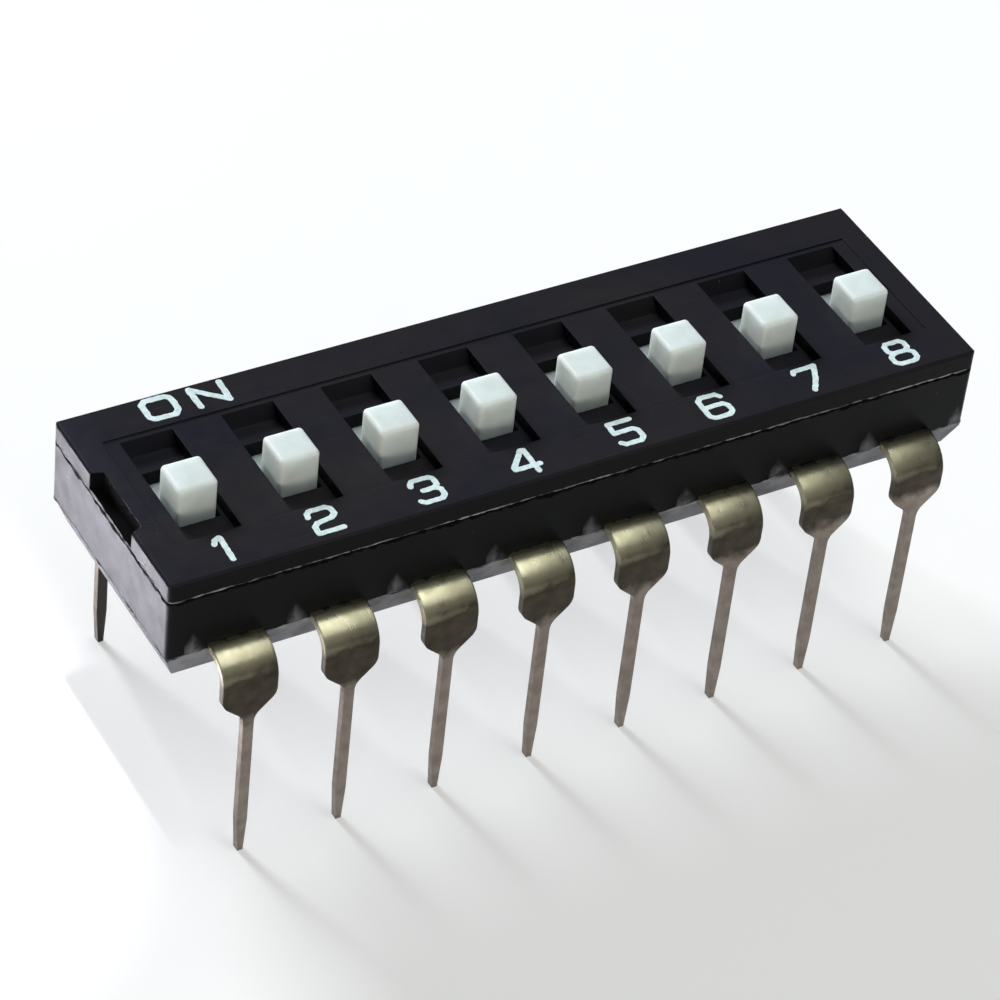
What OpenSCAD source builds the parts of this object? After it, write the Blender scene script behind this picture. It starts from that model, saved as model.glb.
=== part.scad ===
// Eight-way slide DIP switch with side-exit through-hole terminals.
// Frame: Z is 0 at the leg tips and points up to the actuators. X runs along the row of positions,
// position 1 at -X. Y runs across, the numbered side at -Y and the ON side at +Y. Millimetres.
// The switch is drawn with every position OFF: its actuator stands at the -Y end of its travel.

/* [Layout] */
// Number of switch positions
ways = 8; // [1:1:12]
// Distance between neighbouring positions
pitch = 2.54; // [2.2:0.01:3.1]
// Distance between the two rows of legs, centre to centre
row_spacing = 7.62; // [6.5:0.01:10.2]

/* [Housing] */
// Thickness of the housing's end walls
end_wall_t = 0.71; // [0.55:0.01:2]
// Thickness of the housing's side walls
side_wall_t = 0.75; // [0.6:0.01:1]
// Height of the base, from its underside to the joint line
base_h = 2.45; // [2.05:0.05:4]
// Height of the cover's rim above the joint line
rim_h = 0.5; // [0.45:0.05:1]
// Radius of the housing's upright corners
corner_r = 0.15; // [0.05:0.05:0.3]
// Bevel along the cover's top edges
top_bevel = 0.06; // [0.02:0.01:0.15]
// Height of the bevel round the foot of the base
foot_bevel_h = 0.75; // [0.2:0.05:1]
// How far the foot bevel cuts in
foot_bevel_in = 0.3; // [0.1:0.05:0.4]
// Thickness of the ribs between the chambers
rib_t = 0.54; // [0.4:0.02:0.7]

/* [Cover] */
// Depth of the cover's plug below its rim
plug_h = 0.26; // [0.15:0.01:0.4]
// Depth of each window's recess below the top
recess_d = 0.37; // [0.2:0.01:0.45]
// Flat floor of the recess beyond each end of the slot
recess_floor = 0.58; // [0.3:0.02:0.7]
// Length of the ramp at each end of the recess
ramp_run = 0.26; // [0.05:0.01:0.3]
// Ledge of the recess floor along each side of the slot
ledge_w = 0.1; // [0.05:0.01:0.2]
// Depth of the shallow panel round the windows
panel_d = 0.03; // [0.01:0.01:0.06]
// Panel beyond the outermost windows, along the row
panel_end = 0.37; // [0.1:0.01:0.6]
// Panel beyond the windows on the numbered side
panel_front = 0.04; // [0.02:0.01:0.1]
// Panel beyond the windows on the ON side
panel_back = 0.12; // [0.02:0.01:0.2]
// Width of the index notch in the cover's end at position 1
notch_w = 2.2; // [1:0.1:3]
// Depth of the index notch
notch_d = 0.3; // [0.1:0.02:0.36]
// Slant of each side of the index notch
notch_slant = 0.12; // [0:0.02:0.2]
// Diameter of the cover's four locating pegs
peg_d = 0.4; // [0.3:0.02:0.5]
// Length of the locating pegs
peg_l = 0.8; // [0.4:0.05:1.2]
// Distance of the pegs from the long centre line
peg_y = 2; // [1.6:0.05:2.2]

/* [Actuators] */
// Width and length of each knob
knob_w = 1; // [0.8:0.01:1.25]
// Height of the knob above the cover
knob_h = 0.63; // [0.3:0.01:1.2]
// Bevel round the knob's top
knob_bevel = 0.06; // [0.02:0.01:0.1]
// Travel from OFF to ON
travel = 0.8; // [0.6:0.01:1]
// Thickness of the carriage under the cover
carriage_t = 0.45; // [0.3:0.01:0.55]
// How far the carriage covers the slot past each of its ends
carriage_lap = 0.12; // [0.05:0.01:0.2]

/* [Contacts] */
// Thickness of the contact spring's strip
clip_t = 0.1; // [0.06:0.01:0.12]
// Width of the contact spring
clip_w = 0.9; // [0.6:0.05:1.2]
// Length of the contact spring's flat top
clip_top = 0.9; // [0.7:0.02:1.1]
// Distance between the spring's two toes
toe_span = 1.24; // [1.1:0.02:1.4]
// Radius of each toe
toe_r = 0.1; // [0.08:0.01:0.14]
// Width of the cut that splits each arm into two fingers
finger_cut = 0.16; // [0.1:0.02:0.3]
// Length of the rivet boss that holds the spring, along the travel
boss_l = 0.36; // [0.2:0.02:0.5]
// Width of the rivet boss
boss_w = 0.44; // [0.3:0.02:0.6]

/* [Terminals] */
// Thickness of the terminal strip
strip_t = 0.2; // [0.15:0.01:0.3]
// Width of each terminal's shoulder outside the housing
shoulder_w = 1.36; // [0.8:0.02:1.6]
// Width of the contact pad inside the chamber
pad_w = 1.2; // [1:0.05:1.5]
// Gap between the front and the back contact pads
pad_gap = 0.8; // [0.6:0.02:0.9]
// Width of the terminal's waist inside the wall
waist_w = 0.9; // [0.6:0.05:1]
// Length of the waist inside the wall
waist_l = 0.3; // [0.1:0.05:0.4]
// Outside radius of the terminal's bend
bend_r = 0.75; // [0.4:0.05:0.9]
// Width of each leg
leg_w = 0.26; // [0.2:0.02:0.6]
// Length of the legs below their shoulders
leg_l = 4.25; // [2.5:0.05:5]
// Height of the taper from shoulder to leg
taper_h = 0.5; // [0.2:0.05:0.7]
// Rounding of the shoulder's lower corners and of the junction with the leg
taper_r = 0.4; // [0.1:0.05:0.5]
// Length of the pointed tip of each leg
tip_l = 1; // [0.2:0.1:1.5]
// Width at the end of the tip
tip_w = 0.14; // [0.08:0.02:0.2]
// Height of the base's underside above the leg shoulders
underside_h = 0.85; // [0.6:0.05:1.5]
// Height of the terminal strip's lower face above the underside
strip_h = 0.7; // [0.4:0.05:1]

/* [Clearances] */
// Knob to slot, at each side
knob_gap = 0.055; // [0.02:0.005:0.1]
// Knob to slot, at each end of the travel
stop_gap = 0.08; // [0.03:0.01:0.2]
// Carriage to rib, at each side
carriage_gap = 0.05; // [0.02:0.01:0.1]
// Carriage to chamber wall, at each end of the travel
chamber_gap = 0.4; // [0.1:0.05:0.5]
// Carriage to the cover's plug above it
slide_gap = 0.03; // [0.01:0.01:0.06]
// Plug to the walls round it
plug_gap = 0.04; // [0.02:0.01:0.1]
// Ribs to the plug above them
rib_gap = 0.02; // [0.01:0.01:0.06]
// Peg to its hole, on the radius
peg_gap = 0.02; // [0.01:0.01:0.05]
// Peg to the bottom of its hole
peg_end_gap = 0.05; // [0.02:0.01:0.2]
// Rivet boss to the hole in the spring, all round
boss_gap = 0.02; // [0.01:0.01:0.05]
// Toes to the pads under them
toe_gap = 0.02; // [0.01:0.01:0.05]

/* [Hidden] */
$fn = 48;
sides = ["front", "back"];
function numbered(word) = [for (n = [1:ways]) str(word, "_", n)];

// Heights, from the leg tips up
shoulder_z = leg_l + taper_h;
underside_z = leg_l + underside_h;
strip_z = underside_z + strip_h;
pad_z = strip_z + strip_t;
joint_z = underside_z + base_h;
top_z = joint_z + rim_h;
plug_z = joint_z - plug_h;
carriage_top_z = plug_z - slide_gap;
carriage_z = carriage_top_z - carriage_t;
knob_top_z = top_z + knob_h;

// Plan sizes
row_l = (ways - 1) * pitch;
slot_w = knob_w + 2 * knob_gap;
slot_l = knob_w + travel + 2 * stop_gap;
window_w = slot_w + 2 * ledge_w;
window_floor_l = slot_l + 2 * recess_floor;
window_l = window_floor_l + 2 * ramp_run;
chamber_w = pitch - rib_t;
carriage_w = chamber_w - 2 * carriage_gap;
carriage_l = slot_l + travel + 2 * carriage_lap;
chamber_l = carriage_l + travel + 2 * chamber_gap;
chambers_l = row_l + chamber_w;
body_l = chambers_l + 2 * end_wall_t;
body_w = chamber_l + 2 * side_wall_t;
peg_x = (body_l - end_wall_t) / 2;

// The legs' outer face, and a bend that fits between it and the housing
leg_out = (row_spacing + strip_t) / 2;
strip_bend_r = min(bend_r, leg_out - body_w / 2);

// OFF place of the actuators, and the spring's centre behind its actuator's centre
off_y = -travel / 2;
spring_back = travel / 2;

// Small overlap that lets cuts break cleanly through a face
cut = 0.05;

function position_x(n) = (n - (ways + 1) / 2) * pitch;

// Points of an arc of radius r that rounds corner b between points a and c
function rounded_corner(a, b, c, r) =
  let (u = (a - b) / norm(a - b), v = (c - b) / norm(c - b), half = acos(u * v) / 2,
       centre = b + (u + v) / norm(u + v) * r / sin(half), turn = 180 - 2 * half,
       first = b + u * r / tan(half) - centre, last = b + v * r / tan(half) - centre)
  [for (t = [0:1 / 6:1]) centre + (first * sin(turn * (1 - t)) + last * sin(turn * t)) / sin(turn)];

// Extrudes a Y-Z outline along X, centred on X = 0
module along_x(length) rotate([90, 0, 90]) linear_extrude(height = length, center = true) children();

// Extrudes an X-Z outline along Y, centred on Y = 0
module along_y(length) rotate([90, 0, 0]) linear_extrude(height = length, center = true) children();

module rounded_rectangle(length, width, r) {
  square([length - 2 * r, width], center = true);
  square([length, width - 2 * r], center = true);
  for (x = [-1, 1], y = [-1, 1])
    translate([x * (length / 2 - r), y * (width / 2 - r)]) circle(r);
}

// Outline of a block on z = low, its bottom or top corners cut back by a bevel
module bevelled_outline(width, low, high, foot_in = 0, foot_h = 0, head = 0)
  polygon([[-width / 2 + foot_in, low], [width / 2 - foot_in, low],
           [width / 2, low + foot_h], [width / 2, high - head],
           [width / 2 - head, high], [-width / 2 + head, high],
           [-width / 2, high - head], [-width / 2, low + foot_h]]);

// ---------- housing ----------

// The base's outer block, bevelled round its foot
module base_block() intersection() {
  translate([0, 0, underside_z])
    linear_extrude(height = base_h) rounded_rectangle(body_l, body_w, corner_r);
  along_y(body_w) bevelled_outline(body_l, underside_z, joint_z, foot_bevel_in, foot_bevel_h);
  along_x(body_l) bevelled_outline(body_w, underside_z, joint_z, foot_bevel_in, foot_bevel_h);
}

// A chamber for each position, and a shallow pocket over all of them for the cover's plug
module chambers() {
  for (n = [1:ways])
    translate([position_x(n) - chamber_w / 2, -chamber_l / 2, pad_z])
      cube([chamber_w, chamber_l, base_h]);
  translate([-chambers_l / 2, -chamber_l / 2, plug_z - rib_gap])
    cube([chambers_l, chamber_l, base_h]);
}

// The cover's pegs, or the base's holes for them when the gaps are given
module pegs(gap = 0, end_gap = 0)
  for (x = [-peg_x, peg_x], y = [-peg_y, peg_y])
    translate([x, y, joint_z - peg_l - end_gap])
      cylinder(h = peg_l + end_gap + cut, d = peg_d + 2 * gap);

module base() color("#1f2023") difference() {
  base_block();
  chambers();
  pegs(peg_gap, peg_end_gap);
  for (n = [1:ways], side = sides) terminal_solid(n, side);
}

// Recess with a ramp at each end, and the slot through its floor
module window_cut() {
  along_x(window_w)
    polygon([[-window_floor_l / 2, top_z - recess_d], [window_floor_l / 2, top_z - recess_d],
             [window_l / 2, top_z], [window_l / 2, top_z + cut],
             [-window_l / 2, top_z + cut], [-window_l / 2, top_z]]);
  translate([-slot_w / 2, -slot_l / 2, plug_z - cut]) cube([slot_w, slot_l, rim_h + plug_h + 2 * cut]);
}

// Shallow panel that frames the windows
module panel_cut() {
  panel_l = row_l + window_w + 2 * panel_end;
  translate([-panel_l / 2, -window_l / 2 - panel_front, top_z - panel_d])
    cube([panel_l, window_l + panel_front + panel_back, panel_d + cut]);
}

module index_notch_cut()
  translate([-body_l / 2, 0, joint_z - cut]) linear_extrude(height = rim_h + 2 * cut)
    polygon([[-cut, -notch_w / 2], [0, -notch_w / 2], [notch_d, -notch_w / 2 + notch_slant],
             [notch_d, notch_w / 2 - notch_slant], [0, notch_w / 2], [-cut, notch_w / 2]]);

// The cover's rim, bevelled along its top edges
module rim() intersection() {
  translate([0, 0, joint_z])
    linear_extrude(height = rim_h) rounded_rectangle(body_l, body_w, corner_r);
  along_y(body_w) bevelled_outline(body_l, joint_z, top_z, head = top_bevel);
  along_x(body_l) bevelled_outline(body_w, joint_z, top_z, head = top_bevel);
}

module cover() color("#26262a") difference() {
  union() {
    rim();
    translate([-chambers_l / 2 + plug_gap, -chamber_l / 2 + plug_gap, plug_z])
      cube([chambers_l - 2 * plug_gap, chamber_l - 2 * plug_gap, plug_h + rim_h / 2]);
    pegs();
  }
  panel_cut();
  for (n = [1:ways]) translate([position_x(n), 0, 0]) window_cut();
  index_notch_cut();
}

// ---------- moving pieces ----------

// One-piece slider: knob, stem through the slot, carriage under the cover and a rivet boss
module actuator(n) color("#dfe9ea") translate([position_x(n), off_y, 0]) {
  intersection() {
    along_x(knob_w) bevelled_outline(knob_w, carriage_z, knob_top_z, head = knob_bevel);
    along_y(knob_w) bevelled_outline(knob_w, carriage_z, knob_top_z, head = knob_bevel);
  }
  translate([-carriage_w / 2, -carriage_l / 2, carriage_z]) cube([carriage_w, carriage_l, carriage_t]);
  translate([-boss_w / 2, -spring_back - boss_l / 2, carriage_z - clip_t])
    cube([boss_w, boss_l, clip_t + carriage_t]);
}

// Side view of the spring: flat top, an arm down to each side, a round toe on each arm
module spring_outline() {
  toe_z = pad_z + toe_gap + toe_r;
  translate([-clip_top / 2, carriage_z - clip_t]) square([clip_top, clip_t]);
  for (side = [0, 1]) mirror([side, 0]) {
    translate([toe_span / 2, toe_z]) circle(toe_r);
    polygon([[clip_top / 2 - clip_t, carriage_z], [toe_span / 2 - clip_t / 2, toe_z],
             [toe_span / 2 + clip_t / 2, toe_z], [clip_top / 2, carriage_z]]);
  }
}

// Folded contact spring, each arm split into two fingers
module contact_spring(n) color("#c9a24b")
translate([position_x(n), off_y - spring_back, 0]) difference() {
  along_x(clip_w) spring_outline();
  translate([-finger_cut / 2, -toe_span, pad_z])
    cube([finger_cut, 2 * toe_span, carriage_z - clip_t - pad_z]);
  translate([-boss_w / 2 - boss_gap, -boss_l / 2 - boss_gap, carriage_z - clip_t - cut])
    cube([boss_w + 2 * boss_gap, boss_l + 2 * boss_gap, clip_t + 2 * cut]);
}

// ---------- terminals ----------

// Side view of the strip outside the housing: level, round the bend, then down to the tip
module strip_outline() {
  translate([body_w / 2 - cut, strip_z]) square([leg_out - strip_bend_r - body_w / 2 + cut, strip_t]);
  translate([leg_out - strip_t, 0]) square([strip_t, pad_z - strip_bend_r]);
  translate([leg_out - strip_bend_r, pad_z - strip_bend_r]) intersection() {
    difference() {
      circle(strip_bend_r);
      circle(strip_bend_r - strip_t);
    }
    square(strip_bend_r);
  }
}

// Front view of a terminal: broad shoulder, taper, slim leg, pointed tip
module leg_outline() {
  side = concat(
    [[shoulder_w / 2, pad_z + cut]],
    rounded_corner([shoulder_w / 2, pad_z], [shoulder_w / 2, shoulder_z], [leg_w / 2, leg_l], taper_r),
    rounded_corner([shoulder_w / 2, shoulder_z], [leg_w / 2, leg_l], [leg_w / 2, tip_l], taper_r),
    [[leg_w / 2, tip_l], [tip_w / 2, 0]]);
  polygon(concat(side, [for (i = [len(side) - 1:-1:0]) [-side[i].x, side[i].y]]));
}

// Plan view of the strip inside the housing: pad in the chamber, waist held in the wall
module pad_outline() {
  waist_in = (body_w - side_wall_t - waist_l) / 2;
  waist_out = waist_in + waist_l;
  translate([-pad_w / 2, pad_gap / 2]) square([pad_w, waist_in - pad_gap / 2]);
  translate([-waist_w / 2, waist_in - cut]) square([waist_w, waist_l + 2 * cut]);
  translate([-shoulder_w / 2, waist_out]) square([shoulder_w, body_w / 2 - waist_out]);
}

module terminal_solid(n, side)
translate([position_x(n), 0, 0]) mirror([0, side == "front" ? 1 : 0, 0]) {
  translate([0, 0, strip_z]) linear_extrude(height = strip_t) pad_outline();
  intersection() {
    along_x(shoulder_w) strip_outline();
    along_y(row_spacing + 2 * strip_t) leg_outline();
  }
}

module terminal(n, side) color("#b9b28a") terminal_solid(n, side);

base();
cover();
for (n = [1:ways]) {
  actuator(n);
  contact_spring(n);
  terminal(n, "front");
  terminal(n, "back");
}
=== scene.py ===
import math

import bmesh
import bpy
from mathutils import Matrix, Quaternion, Vector, noise


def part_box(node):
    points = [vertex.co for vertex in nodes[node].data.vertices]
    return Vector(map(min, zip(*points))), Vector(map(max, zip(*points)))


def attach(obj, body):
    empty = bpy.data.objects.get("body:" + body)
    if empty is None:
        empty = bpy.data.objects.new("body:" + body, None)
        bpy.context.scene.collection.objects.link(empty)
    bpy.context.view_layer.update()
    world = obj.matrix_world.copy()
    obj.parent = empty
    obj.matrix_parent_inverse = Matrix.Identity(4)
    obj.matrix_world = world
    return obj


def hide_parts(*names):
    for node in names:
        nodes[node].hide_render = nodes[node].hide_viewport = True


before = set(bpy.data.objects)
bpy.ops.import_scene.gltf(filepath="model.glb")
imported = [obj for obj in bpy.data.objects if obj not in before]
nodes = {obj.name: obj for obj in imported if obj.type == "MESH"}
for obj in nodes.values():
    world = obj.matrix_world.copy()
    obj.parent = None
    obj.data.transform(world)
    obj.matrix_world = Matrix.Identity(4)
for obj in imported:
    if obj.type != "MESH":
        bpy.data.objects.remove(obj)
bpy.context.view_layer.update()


# ---- Base -------------------------------------------------------------------
# The lower housing is one black PBT moulding that carries the terminals. Its
# foot tapers so that it leaves the mould, and a thin ragged flash runs round
# it on the mould's parting plane, where the terminals come out.

MM = 0.001
PITCH = 2.54 * MM


def linear(hex_colour):
    """An sRGB hex colour as the linear RGBA that a shader takes."""
    values = [int(hex_colour[i:i + 2], 16) / 255 for i in (1, 3, 5)]
    return [v / 12.92 if v <= 0.04045 else ((v + 0.055) / 1.055) ** 2.4
            for v in values] + [1.0]


def result_of(node):
    """The first output in use of a node."""
    return next(s for s in node.outputs if s.enabled)


def add_node(tree, kind, inputs=(), **settings):
    """Adds a node with its settings and fills its inputs, in order from a list
    or by name. Each takes a value, a hex colour, a socket, or a node for its
    first output; one number fills a whole vector. So Map Range takes a value,
    its lowest and highest, and what each of those two becomes."""
    node = tree.nodes.new(kind)
    for name, value in settings.items():
        setattr(node, name, value)
    in_use = [s for s in node.inputs if s.enabled]
    pairs = ([(node.inputs[name], value) for name, value in inputs.items()]
             if isinstance(inputs, dict) else zip(in_use, inputs))
    for socket, value in pairs:
        if isinstance(value, bpy.types.Node):
            value = result_of(value)
        if isinstance(value, bpy.types.NodeSocket):
            tree.links.new(value, socket)
        elif isinstance(value, str):
            socket.default_value = linear(value)
        elif socket.type == "VECTOR" and isinstance(value, (int, float)):
            socket.default_value = (value,) * 3
        else:
            socket.default_value = value
    return node


def new_finish(name, **sockets):
    """A material, with its tree, its shader set so, and the place on the
    object that its patterns follow."""
    material = bpy.data.materials.new(name)
    material.use_nodes = True
    tree = material.node_tree
    shader = tree.nodes["Principled BSDF"]
    for socket, value in sockets.items():
        shader.inputs[socket.replace("_", " ")].default_value = value
    place = add_node(tree, "ShaderNodeTexCoord").outputs["Object"]
    return material, tree, shader, place


def complete(tree, shader, colour, roughness, height, depth, **edge):
    """Joins a finish's colour, its roughness and a relief of some depth to its
    shader. A Normal that rounds the piece's edges may come with them."""
    relief = add_node(tree, "ShaderNodeBump", {
        "Height": height, "Strength": 1.0, "Distance": depth, **edge})
    for name, node in (("Base Color", colour), ("Roughness", roughness),
                       ("Normal", relief)):
        tree.links.new(result_of(node), shader.inputs[name])


def moulded_black(name, colour, bloom, painted_wall_shade, shine):
    """Black PBT, injection moulded: black with a half-gloss skin, soft flow
    mottling between its colour and its bloom, fine spark-eroded grain, faint
    rub marks and a few specks. The walls take a deeper black, painted shade
    that darkens every face which does not look up. Shine is how much the skin
    mirrors."""
    material, tree, shader, place = new_finish(
        name, IOR=1.5, Specular_IOR_Level=shine)
    # Flow marks lie along the mould, 4.2 mm long and 2.6 mm wide.
    flow = add_node(tree, "ShaderNodeMapping", {
        "Vector": place, "Scale": (1 / (4.167 * MM), 1 / (2.632 * MM),
                                   1 / (2.632 * MM))})
    flow = add_node(tree, "ShaderNodeTexNoise", [flow, 1.0, 3.0])
    flow = add_node(tree, "ShaderNodeMapRange", [flow, 0.38, 0.66])
    skin = add_node(tree, "ShaderNodeMix", [flow, colour, bloom],
                    data_type="RGBA")
    # Painted shade: faces that do not look up take the deeper black of the
    # walls.
    upward = add_node(tree, "ShaderNodeNewGeometry").outputs["True Normal"]
    upward = add_node(tree, "ShaderNodeSeparateXYZ", [upward]).outputs["Z"]
    upward = add_node(tree, "ShaderNodeMapRange", [upward, 0.4, 0.8])
    skin = add_node(tree, "ShaderNodeMix", [upward, painted_wall_shade, skin],
                    data_type="RGBA")
    # Specks of dust and chipped skin, up to 0.05 mm wide, a few on each face.
    cells = add_node(tree, "ShaderNodeTexVoronoi", [place, 1 / (0.42 * MM)])
    size = add_node(tree, "ShaderNodeSeparateColor", [cells.outputs["Color"]])
    size = add_node(tree, "ShaderNodeMapRange", [size, 0.8, 1.0, 0.0, 0.06])
    speck = add_node(tree, "ShaderNodeMath", [cells, size],
                     operation="LESS_THAN")
    skin = add_node(tree, "ShaderNodeMix", [speck, skin, "#3c3d42"],
                    data_type="RGBA")
    # Rub marks: thin scratches, 0.05 mm wide, at two slants.
    rubbed = 0.0
    for slant in (0.5, -0.9):
        lines = add_node(tree, "ShaderNodeMapping", {
            "Vector": place, "Rotation": (0.3, 0.2, slant),
            "Scale": (1 / (3.0 * MM), 1 / (0.05 * MM), 1 / (0.05 * MM))})
        lines = add_node(tree, "ShaderNodeTexNoise", [lines, 1.0, 1.0])
        lines = add_node(tree, "ShaderNodeMapRange", [lines, 0.70, 0.78])
        rubbed = add_node(tree, "ShaderNodeMath", [rubbed, lines],
                          operation="ADD")
    cloud = add_node(tree, "ShaderNodeTexNoise", [place, 1 / (0.5 * MM), 3.0])
    gloss = add_node(tree, "ShaderNodeMapRange", [cloud, 0.3, 0.7, 0.27, 0.40])
    gloss = add_node(tree, "ShaderNodeMath", [rubbed, 0.12, gloss],
                     operation="MULTIPLY_ADD")
    # The real grain is under 0.02 mm; it is drawn at 0.06 mm so that it shows.
    grain = add_node(tree, "ShaderNodeTexNoise", [place, 1 / (0.06 * MM)])
    sink = add_node(tree, "ShaderNodeTexNoise", [place, 1 / (1.4 * MM), 1.0])
    height = add_node(tree, "ShaderNodeMath", [sink, 8.0, grain],
                      operation="MULTIPLY_ADD")
    height = add_node(tree, "ShaderNodeMath", [rubbed, -2.0, height],
                      operation="MULTIPLY_ADD")
    edge = add_node(tree, "ShaderNodeBevel", [0.04 * MM], samples=4)
    complete(tree, shader, skin, gloss, height, 0.001 * MM, Normal=edge)
    return material, tree, shader, place


def mark(tree, shader, share, colour, dull=False):
    """Turns a finish to a colour by the share given at each place, and takes
    its gloss away too if it is to be dull there."""
    skin = shader.inputs["Base Color"].links[0].from_socket
    skin = add_node(tree, "ShaderNodeMix", [share, skin, colour],
                    data_type="RGBA")
    tree.links.new(result_of(skin), shader.inputs["Base Color"])
    if dull:
        gloss = shader.inputs["Roughness"].links[0].from_socket
        gloss = add_node(tree, "ShaderNodeMath", [share, gloss],
                         operation="MAXIMUM")
        tree.links.new(result_of(gloss), shader.inputs["Roughness"])


def paint(names, material):
    """Gives CAD nodes a finish on all their slots."""
    for name in names:
        for slot in nodes[name].material_slots:
            slot.material = material


base_low, base_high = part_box("base")
body_length = base_high.x - base_low.x
body_width = base_high.y - base_low.y
foot_bevel_top = base_low.z + 0.75 * MM
# Its last colour is the painted shade of the walls.
base_black, tree, shader, place = moulded_black(
    "black_pbt_base", "#101116", "#141519", "#07080b", 0.08)
paint(["base"], base_black)

# The foot bevel is painted grey, a painted reflection of the lit table under
# the switch.
xyz = add_node(tree, "ShaderNodeSeparateXYZ", [place]).outputs
reflection_mottle = add_node(tree, "ShaderNodeTexNoise", [place, 1 / (0.6 * MM), 4.0])
reflection_mottle = add_node(tree, "ShaderNodeMapRange", [reflection_mottle, 0.3, 0.6, 0.45, 1.0])
below = add_node(tree, "ShaderNodeMapRange", [
    xyz["Z"], foot_bevel_top + 0.02 * MM, foot_bevel_top - 0.08 * MM])
painted_reflection = add_node(tree, "ShaderNodeMath", [reflection_mottle, below], operation="MULTIPLY")
# Faint pointed streaks of the same painted reflection run up the wall, each
# just past the middle between two terminals. At its foot a streak is strong to
# one half-width and fades away by a second, and both shrink as it rises.
STREAK_X, STREAK_STRENGTH = 0.2 * MM, 0.75
STREAK_STRONG, STREAK_GONE, STREAK_SLOPE = 0.1 * MM, 0.44 * MM, 0.7
beside = add_node(tree, "ShaderNodeMath", [xyz["X"], PITCH, 0.0],
                  operation="WRAP")
beside = add_node(tree, "ShaderNodeMath", [beside, STREAK_X],
                  operation="SUBTRACT")
beside = add_node(tree, "ShaderNodeMath", [beside], operation="ABSOLUTE")
away = add_node(tree, "ShaderNodeMath", [xyz["Z"], STREAK_SLOPE, beside],
                operation="MULTIPLY_ADD")
streak_foot = STREAK_SLOPE * foot_bevel_top
reflection_streak = add_node(tree, "ShaderNodeMapRange", [
    away, streak_foot + STREAK_STRONG, streak_foot + STREAK_GONE,
    STREAK_STRENGTH, 0.0])
streak_mottle = add_node(tree, "ShaderNodeTexNoise", [place, 1 / (0.3 * MM), 3.0])
streak_mottle = add_node(tree, "ShaderNodeMapRange", [streak_mottle, 0.38, 0.58, 0.3, 1.0])
reflection_streak = add_node(tree, "ShaderNodeMath", [reflection_streak, streak_mottle], operation="MULTIPLY")
painted_reflection = add_node(tree, "ShaderNodeMath", [painted_reflection, reflection_streak], operation="MAXIMUM")
# The painted reflection is weaker on the two ends.
endwise = add_node(tree, "ShaderNodeNewGeometry").outputs["True Normal"]
endwise = add_node(tree, "ShaderNodeSeparateXYZ", [endwise]).outputs["X"]
endwise = add_node(tree, "ShaderNodeMath", [endwise], operation="ABSOLUTE")
endwise = add_node(tree, "ShaderNodeMapRange", [endwise, 0.2, 0.5, 1.0, 0.35])
painted_reflection = add_node(tree, "ShaderNodeMath", [painted_reflection, endwise],
                 operation="MULTIPLY")
# Painted reflection: the grey of the lit table, on the foot bevel and the
# streaks.
mark(tree, shader, painted_reflection, "#73747a")

# The joint with the lid shows as a thin dull gap with a torn lower edge.
TORN_DEPTH = 0.26 * MM
torn_edge = add_node(tree, "ShaderNodeTexNoise", [place, 1 / (0.25 * MM), 4.0])
torn_edge = add_node(tree, "ShaderNodeMath", [torn_edge, TORN_DEPTH, xyz["Z"]],
                     operation="MULTIPLY_ADD")
gap = add_node(tree, "ShaderNodeMath", [
    torn_edge, base_high.z + 0.02 * MM], operation="GREATER_THAN")
mark(tree, shader, gap, "#030304", dull=True)

# Torn flash: the same plastic, whitened in patches where it was stretched.
torn, tree, shader, place = new_finish("torn_pbt_flash", IOR=1.5)
patch = add_node(tree, "ShaderNodeTexNoise", [place, 1 / (0.7 * MM), 4.0])
patch = add_node(tree, "ShaderNodeMapRange", [patch, 0.38, 0.56])
skin = add_node(tree, "ShaderNodeMix", [patch, "#1b1c20", "#84858b"],
                data_type="RGBA")
rough = add_node(tree, "ShaderNodeMapRange", [patch, 0.0, 1.0, 0.45, 0.7])
fibre = add_node(tree, "ShaderNodeTexNoise", [place, 1 / (0.05 * MM)])
complete(tree, shader, skin, rough, fibre, 0.01 * MM)


def new_recipe(name, numbers, points=""):
    """A Geometry Nodes tree with named inputs for its sizes, some of them
    numbers and some points, and the sockets that carry them."""
    tree = bpy.data.node_groups.new(name, "GeometryNodeTree")
    tree.interface.new_socket("Geometry", in_out="OUTPUT",
                              socket_type="NodeSocketGeometry")
    for kind, labels in (("Float", numbers), ("Vector", points)):
        for label in labels.split():
            tree.interface.new_socket(label, in_out="INPUT",
                                      socket_type="NodeSocket" + kind)
    return tree, add_node(tree, "NodeGroupInput").outputs


def follow_recipe(tree, name, **sizes):
    """Runs a tree once with these sizes and returns the plain mesh object."""
    maker = bpy.data.objects.new(name + "_maker",
                                 bpy.data.meshes.new(name + "_maker"))
    bpy.context.scene.collection.objects.link(maker)
    steps = maker.modifiers.new(name, "NODES")
    steps.node_group = tree
    for item in tree.interface.items_tree:
        if item.in_out == "INPUT":
            steps[item.identifier] = sizes[item.name]
    bpy.context.view_layer.update()
    made = maker.evaluated_get(bpy.context.evaluated_depsgraph_get())
    piece = bpy.data.objects.new(name, bpy.data.meshes.new_from_object(made))
    piece.data.name = name
    bpy.context.scene.collection.objects.link(piece)
    bpy.data.objects.remove(maker)
    return piece


# The flash: a bead of uneven radius along a loop that wanders up and down.
flash_tree, sizes = new_recipe(
    "flash_bead", "Length Width Corner Height Wander Radius Seed")
loop = add_node(flash_tree, "GeometryNodeCurvePrimitiveQuadrilateral",
                [sizes["Length"], sizes["Width"]])
loop = add_node(flash_tree, "GeometryNodeFilletCurve", {
    "Curve": loop, "Radius": sizes["Corner"], "Count": 4}, mode="POLY")
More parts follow.
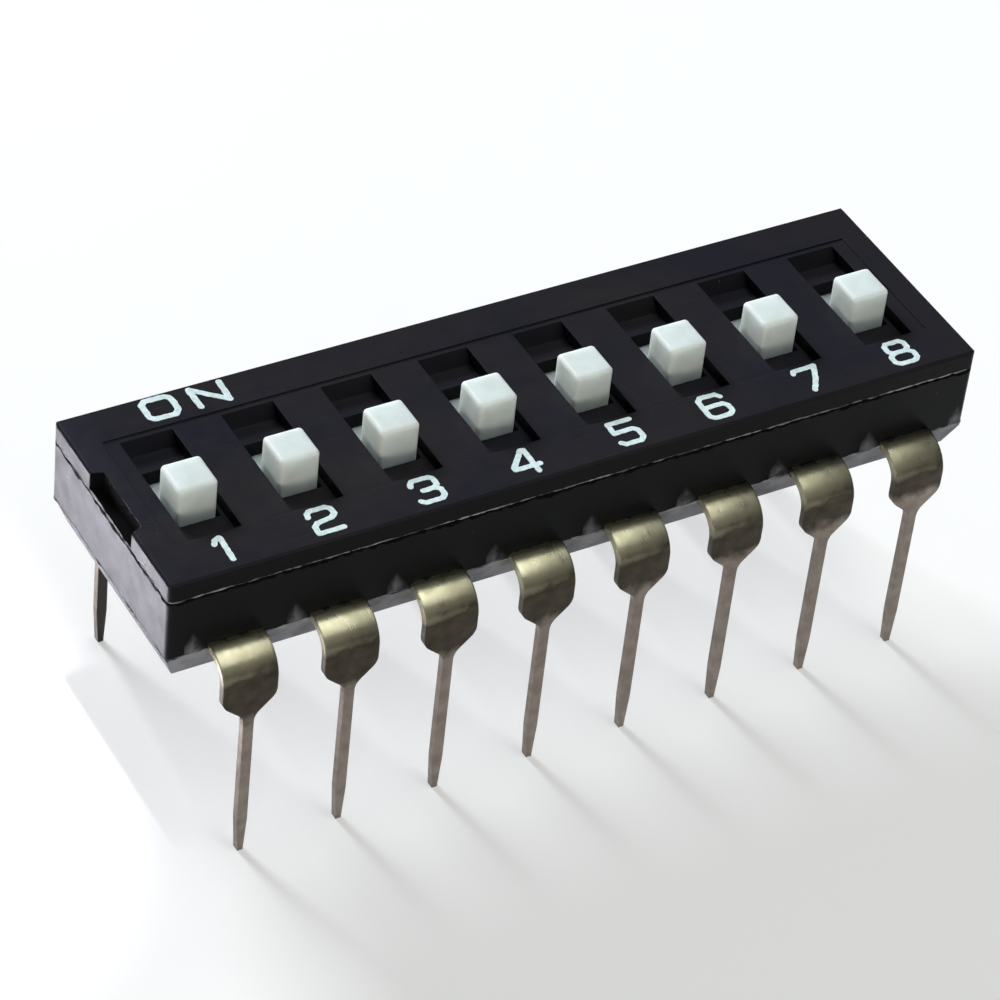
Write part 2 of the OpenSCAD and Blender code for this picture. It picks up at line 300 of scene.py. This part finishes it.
# 1300 points are one every 0.04 mm, finer than the raggedness.
loop = add_node(flash_tree, "GeometryNodeResampleCurve", {
    "Curve": loop, "Count": 1300})
spot = add_node(flash_tree, "GeometryNodeInputPosition")
drift = add_node(flash_tree, "ShaderNodeTexNoise", {
    "Vector": spot, "W": sizes["Seed"], "Scale": 1 / (0.5 * MM),
    "Detail": 4.0}, noise_dimensions="4D")
drift = add_node(flash_tree, "ShaderNodeMath", [drift, 0.5],
                 operation="SUBTRACT")
drift = add_node(flash_tree, "ShaderNodeMath", [
    drift, sizes["Wander"], sizes["Height"]], operation="MULTIPLY_ADD")
lift = add_node(flash_tree, "ShaderNodeCombineXYZ", {"Z": drift})
loop = add_node(flash_tree, "GeometryNodeSetPosition", {
    "Geometry": loop, "Offset": lift})
ragged = add_node(flash_tree, "ShaderNodeTexNoise", {
    "Vector": spot, "W": sizes["Seed"], "Scale": 1 / (0.2 * MM),
    "Detail": 3.0}, noise_dimensions="4D")
ragged = add_node(flash_tree, "ShaderNodeMapRange",
                  [ragged, 0.35, 0.62, 0.25, 1.0])
bead = add_node(flash_tree, "ShaderNodeMath", [ragged, sizes["Radius"]],
                operation="MULTIPLY")
profile = add_node(flash_tree, "GeometryNodeCurvePrimitiveCircle", {
    "Resolution": 6, "Radius": 1.0})
body = add_node(flash_tree, "GeometryNodeCurveToMesh", {
    "Curve": loop, "Profile Curve": profile, "Scale": bead})
body = add_node(flash_tree, "GeometryNodeRealizeInstances", [body])
body = add_node(flash_tree, "GeometryNodeSetMaterial", {
    "Geometry": body, "Material": torn})
add_node(flash_tree, "NodeGroupOutput", [body])

# Both beads run just inside the walls' faces and stand a little proud of them.
flash_loop = {"Length": body_length - 0.02 * MM,
              "Width": body_width - 0.02 * MM, "Corner": 0.15 * MM}
base_flash = follow_recipe(
    flash_tree, "base_flash", **flash_loop, Height=foot_bevel_top,
    Wander=0.14 * MM, Radius=0.042 * MM, Seed=3.0)
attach(base_flash, "housing")


# ---- Terminals --------------------------------------------------------------
# Sixteen strips, stamped from copper alloy, rolled and plated, are moulded
# into the base walls and bent down once. Gold flash covers the shoulders; the
# legs are dipped in tin for soldering and look greyer.

# Satin gold flash over a rolled strip: pale olive-gold, blotched, painted dark
# brown at the foot of each shoulder as a painted reflection of the shaded
# table, with sheared edges rougher than the faces, and duller tin on the legs.
plated, tree, shader, place = new_finish("gold_flash_and_tin_on_copper_alloy")
xyz = add_node(tree, "ShaderNodeSeparateXYZ", [place]).outputs
blotch = add_node(tree, "ShaderNodeTexNoise", [place, 1 / (0.35 * MM), 3.0])
mottle = add_node(tree, "ShaderNodeMapRange", [blotch, 0.35, 0.7])
gold = add_node(tree, "ShaderNodeMix", [mottle, "#c9c4a9", "#aea88c"],
                data_type="RGBA")
# Painted reflection: dark brown for the foot of each shoulder, which mirrors
# the shaded table.
dark_reflection = add_node(tree, "ShaderNodeMix", [mottle, "#4b453b", "#3a352e"],
                 data_type="RGBA")
tin = add_node(tree, "ShaderNodeMix", [mottle, "#8e847a", "#7c7269"],
               data_type="RGBA")
# Tin gives way to the painted dark reflection, and that to gold, over two
# short heights, which wave a little. The painted dark slants across each
# shoulder. The tin reaches higher towards position 8, a painted reflection of
# lighter table there.
leg_top = base_low.z - 0.85 * MM
tin_fades = leg_top + 0.3 * MM, leg_top + 0.65 * MM
reflection_fades = leg_top + 1.42 * MM, leg_top + 2.0 * MM
REFLECTION_SLANT, TIN_REFLECTION_TILT = -0.15, -0.04
across = add_node(tree, "ShaderNodeMath", [xyz["X"], PITCH, 0.0],
                  operation="WRAP")
across = add_node(tree, "ShaderNodeMath", [across, PITCH / 2],
                  operation="SUBTRACT")
level = add_node(tree, "ShaderNodeMath", [blotch, 0.5 * MM, xyz["Z"]],
                 operation="MULTIPLY_ADD")
slanted = add_node(tree, "ShaderNodeMath", [across, REFLECTION_SLANT, level],
                   operation="MULTIPLY_ADD")
gilt = add_node(tree, "ShaderNodeMapRange", [slanted, *reflection_fades])
metal = add_node(tree, "ShaderNodeMix", [gilt, dark_reflection, gold], data_type="RGBA")
tilted = add_node(tree, "ShaderNodeMath", [xyz["X"], TIN_REFLECTION_TILT, level],
                  operation="MULTIPLY_ADD")
undipped = add_node(tree, "ShaderNodeMapRange", [tilted, *tin_fades])
metal = add_node(tree, "ShaderNodeMix", [undipped, tin, metal],
                 data_type="RGBA")
# Ragged black flash of the moulding creeps over each strip at the wall.
creep = add_node(tree, "ShaderNodeTexNoise", [place, 1 / (0.3 * MM), 3.0])
creep = add_node(tree, "ShaderNodeMapRange", [creep, 0.52, 0.75, 0, 0.14 * MM])
out = add_node(tree, "ShaderNodeMath", [xyz["Y"]], operation="ABSOLUTE")
out = add_node(tree, "ShaderNodeMath", [out, body_width / 2],
               operation="SUBTRACT")
flashed = add_node(tree, "ShaderNodeMath", [out, creep],
                   operation="LESS_THAN")
skin = add_node(tree, "ShaderNodeMix", [flashed, metal, "#2b2a26"],
                data_type="RGBA")
bare = add_node(tree, "ShaderNodeMath", [1.0, flashed], operation="SUBTRACT")
tree.links.new(result_of(bare), shader.inputs["Metallic"])
# The faces turned to the switch's middle are painted dark, painted shade on
# the sides away from the light. On them the outward normal points against the
# place's own Y.
facing = add_node(tree, "ShaderNodeNewGeometry").outputs["True Normal"]
facing = add_node(tree, "ShaderNodeSeparateXYZ", [facing]).outputs
shaded_inner_faces = add_node(tree, "ShaderNodeMath", [facing["Y"], xyz["Y"]],
                 operation="MULTIPLY")
shaded_inner_faces = add_node(tree, "ShaderNodeMath", [shaded_inner_faces, -0.15 * body_width],
                 operation="LESS_THAN")
# Painted shade on the inward faces.
skin = add_node(tree, "ShaderNodeMix", [shaded_inner_faces, skin, "#3b3937"],
                data_type="RGBA")
# Sheared edges face along the row: half burnished, half torn.
sideways = add_node(tree, "ShaderNodeMath", [facing["X"]],
                    operation="ABSOLUTE")
sheared = add_node(tree, "ShaderNodeMath", [sideways, 0.7],
                   operation="GREATER_THAN")
satin = add_node(tree, "ShaderNodeMapRange", [blotch, 0.3, 0.7, 0.25, 0.36])
satin = add_node(tree, "ShaderNodeMath", [sheared, 0.12, satin],
                 operation="MULTIPLY_ADD")
# Rolling lines run along the strip; the real ones are finer than these.
rolled = add_node(tree, "ShaderNodeMapping", {
    "Vector": place, "Scale": (1 / (0.03 * MM), 1 / (0.42 * MM),
                               1 / (0.42 * MM))})
rolled = add_node(tree, "ShaderNodeTexNoise", [rolled, 1.0])
height = add_node(tree, "ShaderNodeMath", [blotch, 3.0, rolled],
                  operation="MULTIPLY_ADD")
# Stamping leaves each strip slightly crowned about its middle.
crown = add_node(tree, "ShaderNodeMath", [across, 1 / MM],
                 operation="MULTIPLY")
crown = add_node(tree, "ShaderNodeMath", [crown, crown],
                 operation="MULTIPLY")
height = add_node(tree, "ShaderNodeMath", [crown, -18.0, height],
                  operation="MULTIPLY_ADD")
edge = add_node(tree, "ShaderNodeBevel", [0.06 * MM], samples=4)
complete(tree, shader, skin, satin, height, 0.0022 * MM, Normal=edge)
paint([n for n in nodes if n.startswith("terminal_")], plated)


# ---- Contact springs --------------------------------------------------------
# Eight springs, folded from thin phosphor bronze and gold plated where they
# touch the pads, are riveted under the sliders.

# Gold on phosphor bronze, rolled: warm yellow with brown blotches and fine
# lines along the strip.
bronze, tree, shader, place = new_finish("gold_plated_phosphor_bronze",
                                         Metallic=1.0)
blotch = add_node(tree, "ShaderNodeTexNoise", [place, 1 / (0.3 * MM), 3.0])
mottle = add_node(tree, "ShaderNodeMapRange", [blotch, 0.35, 0.7])
gold = add_node(tree, "ShaderNodeMix", [mottle, "#c8a45c", "#b58a4c"],
                data_type="RGBA")
satin = add_node(tree, "ShaderNodeMapRange", [blotch, 0.3, 0.7, 0.26, 0.38])
rolled = add_node(tree, "ShaderNodeMapping", {
    "Vector": place, "Scale": (1 / (0.02 * MM), 1 / (0.24 * MM),
                               1 / (0.24 * MM))})
rolled = add_node(tree, "ShaderNodeTexNoise", [rolled, 1.0])
complete(tree, shader, gold, satin, rolled, 0.002 * MM)
paint([n for n in nodes if n.startswith("contact_spring_")], bronze)


# ---- Sliders ----------------------------------------------------------------
# Eight one-piece sliders are moulded in white acetal. The knob stands on a
# stem through the slot; the carriage under the cover hides the slot and holds
# the spring on a small boss.

# White acetal, moulded: pale, softly translucent, so that its edges glow and
# light bleeds down from the top.
acetal, tree, shader, place = new_finish(
    "white_acetal", IOR=1.48, Subsurface_Weight=1.0,
    Subsurface_Scale=0.38 * MM, Subsurface_Radius=(1.0, 0.95, 0.8))
shader.subsurface_method = "RANDOM_WALK"
cloud = add_node(tree, "ShaderNodeTexNoise", [place, 1 / (0.4 * MM)])
mottle = add_node(tree, "ShaderNodeMapRange", [cloud, 0.35, 0.7])
milk = add_node(tree, "ShaderNodeMix", [mottle, "#dfe9ea", "#d6dfdc"],
                data_type="RGBA")
gloss = add_node(tree, "ShaderNodeMapRange", [cloud, 0.3, 0.7, 0.32, 0.44])
ripple = add_node(tree, "ShaderNodeTexNoise", [place, 1 / (0.07 * MM)])
complete(tree, shader, milk, gloss, ripple, 0.002 * MM)

# A block whose corners and edges are rounded. Of the squares along the side of
# a cube, those in the middle stay flat and the others curve round to the next
# side: each point's place is split into a flat share and a round one.
SQUARES, FLAT_SQUARES = 13, 5
FLAT = FLAT_SQUARES / SQUARES
block_tree, sizes = new_recipe("rounded_block", "Rounding", "Low High")
cube = add_node(block_tree, "GeometryNodeMeshCube", [2.0] + 3 * [SQUARES + 1])
spot = add_node(block_tree, "GeometryNodeInputPosition")
flat = add_node(block_tree, "ShaderNodeVectorMath", [spot, FLAT],
                operation="DIVIDE")
flat = add_node(block_tree, "ShaderNodeVectorMath", [flat, 1.0],
                operation="MINIMUM")
flat = add_node(block_tree, "ShaderNodeVectorMath", [flat, -1.0],
                operation="MAXIMUM")
outward = add_node(block_tree, "ShaderNodeVectorMath", [flat, -FLAT, spot],
                   operation="MULTIPLY_ADD")
outward = add_node(block_tree, "ShaderNodeVectorMath", [outward],
                   operation="NORMALIZE")
whole = add_node(block_tree, "ShaderNodeVectorMath", [
    sizes["High"], sizes["Low"]], operation="SUBTRACT")
middle = add_node(block_tree, "ShaderNodeVectorMath", [
    whole, 0.5, sizes["Low"]], operation="MULTIPLY_ADD")
rounding = add_node(block_tree, "ShaderNodeVectorMath", [
    sizes["Rounding"], -1.0], operation="MULTIPLY")
core = add_node(block_tree, "ShaderNodeVectorMath", [whole, 0.5, rounding],
                operation="MULTIPLY_ADD")
moved = add_node(block_tree, "ShaderNodeVectorMath", [flat, core, middle],
                 operation="MULTIPLY_ADD")
moved = add_node(block_tree, "ShaderNodeVectorMath", [
    outward, sizes["Rounding"], moved], operation="MULTIPLY_ADD")
block = add_node(block_tree, "GeometryNodeSetPosition", {
    "Geometry": cube, "Position": moved})
block = add_node(block_tree, "GeometryNodeSetShadeSmooth", {
    "Geometry": block, "Shade Smooth": True})
add_node(block_tree, "NodeGroupOutput", [block])

# The slider: knob with stem, carriage and boss, each a rounded block.
slider_tree, sizes = new_recipe(
    "slider", "KnobRounding Rounding",
    "KnobLow KnobHigh CarriageLow CarriageHigh BossLow BossHigh")
together = add_node(slider_tree, "GeometryNodeJoinGeometry")
for part, rounding in (("Knob", "KnobRounding"), ("Carriage", "Rounding"),
                       ("Boss", "Rounding")):
    block = add_node(slider_tree, "GeometryNodeGroup", node_tree=block_tree)
    for label, size in (("Low", part + "Low"), ("High", part + "High"),
                        ("Rounding", rounding)):
        slider_tree.links.new(sizes[size], block.inputs[label])
    slider_tree.links.new(block.outputs[0], together.inputs[0])
slider = add_node(slider_tree, "GeometryNodeRealizeInstances", [together])
slider = add_node(slider_tree, "GeometryNodeSetMaterial", {
    "Geometry": slider, "Material": acetal})
add_node(slider_tree, "NodeGroupOutput", [slider])

# The knob and the carriage take their outside from the CAD slider. The boss
# sinks into the carriage, over the middle of the spring.
spring_low, spring_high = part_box("contact_spring_1")
boss_y = (spring_low.y + spring_high.y) / 2
knob_half = Vector((0.5, 0.5, 0)) * MM
boss_half = Vector((0.22, 0.18, 0)) * MM
carriage_foot = spring_high.z
carriage_top = carriage_foot + 0.45 * MM
boss_top = carriage_top - 0.1 * MM
for n in range(1, 9):
    low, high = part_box(f"actuator_{n}")
    middle = (low + high) / 2
    slider = follow_recipe(
        slider_tree, f"slider_{n}",
        KnobLow=Vector((middle.x, middle.y, carriage_foot)) - knob_half,
        KnobHigh=Vector((middle.x, middle.y, high.z)) + knob_half,
        CarriageLow=Vector((low.x, low.y, carriage_foot)),
        CarriageHigh=Vector((high.x, high.y, carriage_top)),
        BossLow=Vector((middle.x, boss_y, low.z)) - boss_half,
        BossHigh=Vector((middle.x, boss_y, boss_top)) + boss_half,
        KnobRounding=0.11 * MM, Rounding=0.03 * MM)
    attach(slider, f"slider_{n}")
    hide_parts(f"actuator_{n}")


# ---- Cover ------------------------------------------------------------------
# The lid is moulded in the same black PBT and pressed into the base on pegs.
# A ragged line of flash marks the joint.

cover_low, cover_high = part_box("cover")
# Its last colour is the painted shade of the walls.
cover_black, tree, shader, place = moulded_black(
    "black_pbt_cover", "#202028", "#262427", "#08080b", 0.07)
paint(["cover"], cover_black)

# The index notch is painted dark and dull inside, painted shade in the recess,
# to just under the lid's top.
NOTCH_DEPTH, NOTCH_HALF = 0.3 * MM, 1.1 * MM
notch_y = (cover_low.y + cover_high.y) / 2
xyz = add_node(tree, "ShaderNodeSeparateXYZ", [place]).outputs
notch_shade = 1.0
for axis, low, high in (
        ("X", cover_low.x + 0.02 * MM, cover_low.x + NOTCH_DEPTH + 0.04 * MM),
        ("Y", notch_y - NOTCH_HALF - 0.05 * MM,
         notch_y + NOTCH_HALF + 0.05 * MM),
        ("Z", cover_low.z - 0.02 * MM, cover_high.z - 0.02 * MM)):
    within = add_node(tree, "ShaderNodeMath", [
        xyz[axis], (low + high) / 2, (high - low) / 2], operation="COMPARE")
    notch_shade = add_node(tree, "ShaderNodeMath", [notch_shade, within],
                      operation="MULTIPLY")
# Painted shade inside the notch.
mark(tree, shader, notch_shade, "#050506", dull=True)

joint_flash = follow_recipe(
    flash_tree, "joint_flash", **flash_loop, Height=base_high.z,
    Wander=0.08 * MM, Radius=0.03 * MM, Seed=11.0)
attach(joint_flash, "housing")


# ---- Lettering --------------------------------------------------------------
# ON and the position numbers are pad printed in white ink: round-ended strokes
# of even width, a hundredth of a millimetre thick, with slightly soft edges.

# White pad-printing ink: matt, very slightly cyan, thin in places.
ink, tree, shader, place = new_finish("white_printing_ink", IOR=1.45)
cloud = add_node(tree, "ShaderNodeTexNoise", [place, 1 / (0.12 * MM), 3.0])
thick = add_node(tree, "ShaderNodeMapRange", [cloud, 0.3, 0.62])
white = add_node(tree, "ShaderNodeMix", [thick, "#c3d6d9", "#dceef0"],
                 data_type="RGBA")
matt = add_node(tree, "ShaderNodeMapRange", [cloud, 0.3, 0.7, 0.5, 0.65])
complete(tree, shader, white, matt, cloud, 0.002 * MM)

# Each character's strokes, in millimetres from its middle.
STROKES = {
    "O": ([(-0.25, 0.33), (0.25, 0.33), (0.35, 0.25), (0.38, 0.05),
           (0.36, -0.22), (0.26, -0.33), (-0.26, -0.33), (-0.36, -0.24),
           (-0.37, 0.22), (-0.25, 0.33)],),
    "N": ([(-0.37, -0.33), (-0.39, 0.32), (0.37, -0.33), (0.39, 0.32)],),
    "1": ([(-0.18, 0.2), (-0.12, 0.31), (0.02, 0.38), (0.03, 0.36),
           (0.0, -0.38)],),
    "2": ([(-0.31, 0.2), (-0.29, 0.3), (-0.2, 0.38), (0.2, 0.38),
           (0.3, 0.3), (0.31, 0.12), (0.2, 0.01), (-0.18, -0.04),
           (-0.3, -0.14), (-0.31, -0.38), (0.31, -0.38)],),
    "3": ([(-0.3, 0.22), (-0.28, 0.3), (-0.2, 0.38), (0.2, 0.38),
           (0.3, 0.3), (0.3, 0.1), (0.2, 0.01), (-0.1, 0.0)],
          [(0.2, 0.01), (0.31, -0.08), (0.31, -0.28), (0.2, -0.38),
           (-0.22, -0.38), (-0.31, -0.3)]),
    "4": ([(0.19, -0.4), (0.19, 0.36), (0.12, 0.38), (-0.31, -0.12),
           (-0.31, -0.19), (0.33, -0.19)],),
    "5": ([(0.29, 0.38), (-0.28, 0.38), (-0.29, 0.05), (0.2, 0.06),
           (0.3, -0.03), (0.31, -0.27), (0.2, -0.38), (-0.2, -0.38),
           (-0.3, -0.3)],),
    "6": ([(0.28, 0.26), (0.2, 0.37), (-0.2, 0.38), (-0.3, 0.28),
           (-0.31, -0.28), (-0.2, -0.38), (0.2, -0.38), (0.31, -0.28),
           (0.31, -0.08), (0.21, 0.02), (-0.29, 0.02)],),
    "7": ([(-0.31, 0.28), (-0.27, 0.36), (0.31, 0.38), (0.12, -0.02),
           (-0.12, -0.4)],),
    "8": ([(-0.18, 0.38), (0.18, 0.38), (0.27, 0.29), (0.27, 0.12),
           (0.18, 0.02), (-0.18, 0.02), (-0.27, 0.12), (-0.27, 0.29),
           (-0.18, 0.38)],
          [(-0.18, 0.02), (0.18, 0.02), (0.31, -0.09), (0.31, -0.28),
           (0.2, -0.38), (-0.2, -0.38), (-0.31, -0.28), (-0.31, -0.09),
           (-0.18, 0.02)])}


def stroke_distance(point, strokes):
    """The distance in millimetres from a point to the nearest stroke."""
    best = math.inf
    for stroke in strokes:
        for a, b in zip(stroke, stroke[1:]):
            a, b = Vector(a), Vector(b)
            along = (point - a).dot(b - a) / (b - a).length_squared
            along = min(1, max(0, along))
            best = min(best, (point - a.lerp(b, along)).length)
    return best


# A character is cut from a fine grid over its patch, all in millimetres. Its
# edge waves a little, in so many waves to the millimetre.
CELL = 0.018
PATCH_WIDTH, PATCH_HEIGHT = 1.3, 1.4
EDGE_WAVE, WAVES = 0.014, 9


def print_character(surface, character, centre, pen):
    """Adds the area that a character's ink covers to a surface."""
    strokes = STROKES[character]
    columns, rows = round(PATCH_WIDTH / CELL), round(PATCH_HEIGHT / CELL)
    ink_depth = {}
    for i in range(columns + 1):
        for j in range(rows + 1):
            point = Vector(((i - columns / 2) * CELL, (j - rows / 2) * CELL))
            wave = noise.noise(
                Vector((point.x + centre.x, point.y, 0)) * WAVES)
            depth = (pen / 2 - stroke_distance(point, strokes)
                     + EDGE_WAVE * wave)
            ink_depth[i, j] = point, depth
    for i in range(columns):
        for j in range(rows):
            ring = [ink_depth[corner] for corner in (
                (i, j), (i + 1, j), (i + 1, j + 1), (i, j + 1))]
            outline = []
            for (p, a), (q, b) in zip(ring, ring[1:] + ring[:1]):
                if a > 0:
                    outline.append(p)
                if (a > 0) != (b > 0):
                    outline.append(p.lerp(q, a / (a - b)))
            if len(outline) > 2:
                surface.faces.new([surface.verts.new(
                    ((centre.x + p.x) * MM, (centre.y + p.y) * MM, 0))
                    for p in outline])


WORD_Y, WORD_PEN = 2.53, 0.155
NUMBER_Y, NUMBER_PEN = -2.375, 0.138
NUMBER_X = (-8.92, -6.485, -3.89, -1.4, 1.3, 3.7, 6.33, 8.84)
print_surface = bmesh.new()
for character, x in (("O", -8.195), ("N", -6.945)):
    print_character(print_surface, character, Vector((x, WORD_Y)), WORD_PEN)
for n, x in enumerate(NUMBER_X, 1):
    print_character(print_surface, str(n), Vector((x, NUMBER_Y)), NUMBER_PEN)
bmesh.ops.remove_doubles(print_surface, verts=print_surface.verts,
                         dist=0.0005 * MM)
bmesh.ops.translate(print_surface, verts=print_surface.verts,
                    vec=(0, 0, cover_high.z))
lettering_mesh = bpy.data.meshes.new("lettering")
print_surface.to_mesh(lettering_mesh)
print_surface.free()
lettering_mesh.materials.append(ink)
lettering = bpy.data.objects.new("lettering", lettering_mesh)
bpy.context.scene.collection.objects.link(lettering)
film = lettering.modifiers.new("film", "SOLIDIFY")
film.thickness, film.offset = 0.012 * MM, 1.0
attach(lettering, "housing")


# ---- Floor, lights and camera -----------------------------------------------
# A plain pale table. A large soft window lamp shines from behind, with a soft
# box overhead, a dim panel and a low fill lamp in front, and a narrow lamp on
# the table at the left, which the end of the switch mirrors.

# Matt white laminate: plain, and no shine of its own.
pale, tree, shader, _ = new_finish(
    "pale_table", Base_Color=linear("#fafafa"), Roughness=0.9,
    Specular_IOR_Level=0.0)
# What the camera and the shiny surfaces see of it is part plain white, and the
# rest keeps the shadow.
WHITE_SHARE = 0.36
path = add_node(tree, "ShaderNodeLightPath").outputs
seen = add_node(tree, "ShaderNodeMath", [
    path["Is Camera Ray"], path["Is Glossy Ray"]], operation="MAXIMUM")
seen = add_node(tree, "ShaderNodeMath", [
    seen, path["Is Transmission Ray"]], operation="MAXIMUM")
seen = add_node(tree, "ShaderNodeMath", [seen, WHITE_SHARE],
                operation="MULTIPLY")
white = add_node(tree, "ShaderNodeEmission", ["#ffffff", 1.0])
both = add_node(tree, "ShaderNodeMixShader", [seen, shader, white])
tree.links.new(result_of(both),
               tree.nodes["Material Output"].inputs["Surface"])

TABLE_HALF = 600 * MM
floor_mesh = bpy.data.meshes.new("table")
floor_mesh.from_pydata(
    [(-TABLE_HALF, -TABLE_HALF, 0), (TABLE_HALF, -TABLE_HALF, 0),
     (TABLE_HALF, TABLE_HALF, 0), (-TABLE_HALF, TABLE_HALF, 0)],
    [], [(0, 1, 2, 3)])
floor_mesh.materials.append(pale)
floor = bpy.data.objects.new("table", floor_mesh)
bpy.context.scene.collection.objects.link(floor)


def soft_lamp(name, place, aim, size, watts, colour, spread=180):
    """An area lamp at a place, turned to an aim; millimetres and degrees."""
    lamp = bpy.data.lights.new(name, "AREA")
    lamp.shape = "RECTANGLE"
    lamp.size, lamp.size_y = size[0] * MM, size[1] * MM
    lamp.energy = watts
    lamp.color = linear(colour)[:3]
    lamp.spread = math.radians(spread)
    holder = bpy.data.objects.new(name, lamp)
    bpy.context.scene.collection.objects.link(holder)
    holder.location = Vector(place) * MM
    holder.rotation_euler = (Vector(aim) - Vector(place)).to_track_quat(
        "-Z", "Y").to_euler()


soft_lamp("window", (-52, 328, 184), (0, 0, 5), (120, 68), 1.62, "#f6faff")
soft_lamp("softbox", (27, -18, 114), (0, -18, 5), (172, 44), 0.060, "#fbfff8")
soft_lamp("panel", (54, -124, 74), (0, 0, 5), (90, 100), 0.009, "#fffaf0")
soft_lamp("low_fill", (-95, -125, 26), (0, 0, 6), (50, 30), 0.078, "#fff3e2")
soft_lamp("table_wash", (-19, 6, 90), (-19, 6, 0), (7, 14), 0.010, "#f2eefc",
          spread=9)

world = bpy.data.worlds.new("studio")
bpy.context.scene.world = world
world.use_nodes = True
sky = world.node_tree.nodes["Background"]
sky.inputs["Color"].default_value = linear("#e6ecf4")
sky.inputs["Strength"].default_value = 0.17

camera_data = bpy.data.cameras.new("camera")
camera_data.lens = 155.3
camera_data.sensor_width = 36.0
camera_data.clip_start, camera_data.clip_end = 1 * MM, 2.0
camera = bpy.data.objects.new("camera", camera_data)
bpy.context.scene.collection.objects.link(camera)
camera.location = Vector((-42.60, -64.75, 71.41)) * MM
aim = Vector((0.0, 0.56, 4.05)) * MM
tilt = Quaternion((0, 0, 1), math.radians(6.70))
camera.rotation_mode = "QUATERNION"
camera.rotation_quaternion = (aim - camera.location).to_track_quat(
    "-Z", "Y") @ tilt
bpy.context.scene.camera = camera
bpy.context.scene.view_settings.view_transform = "Standard"
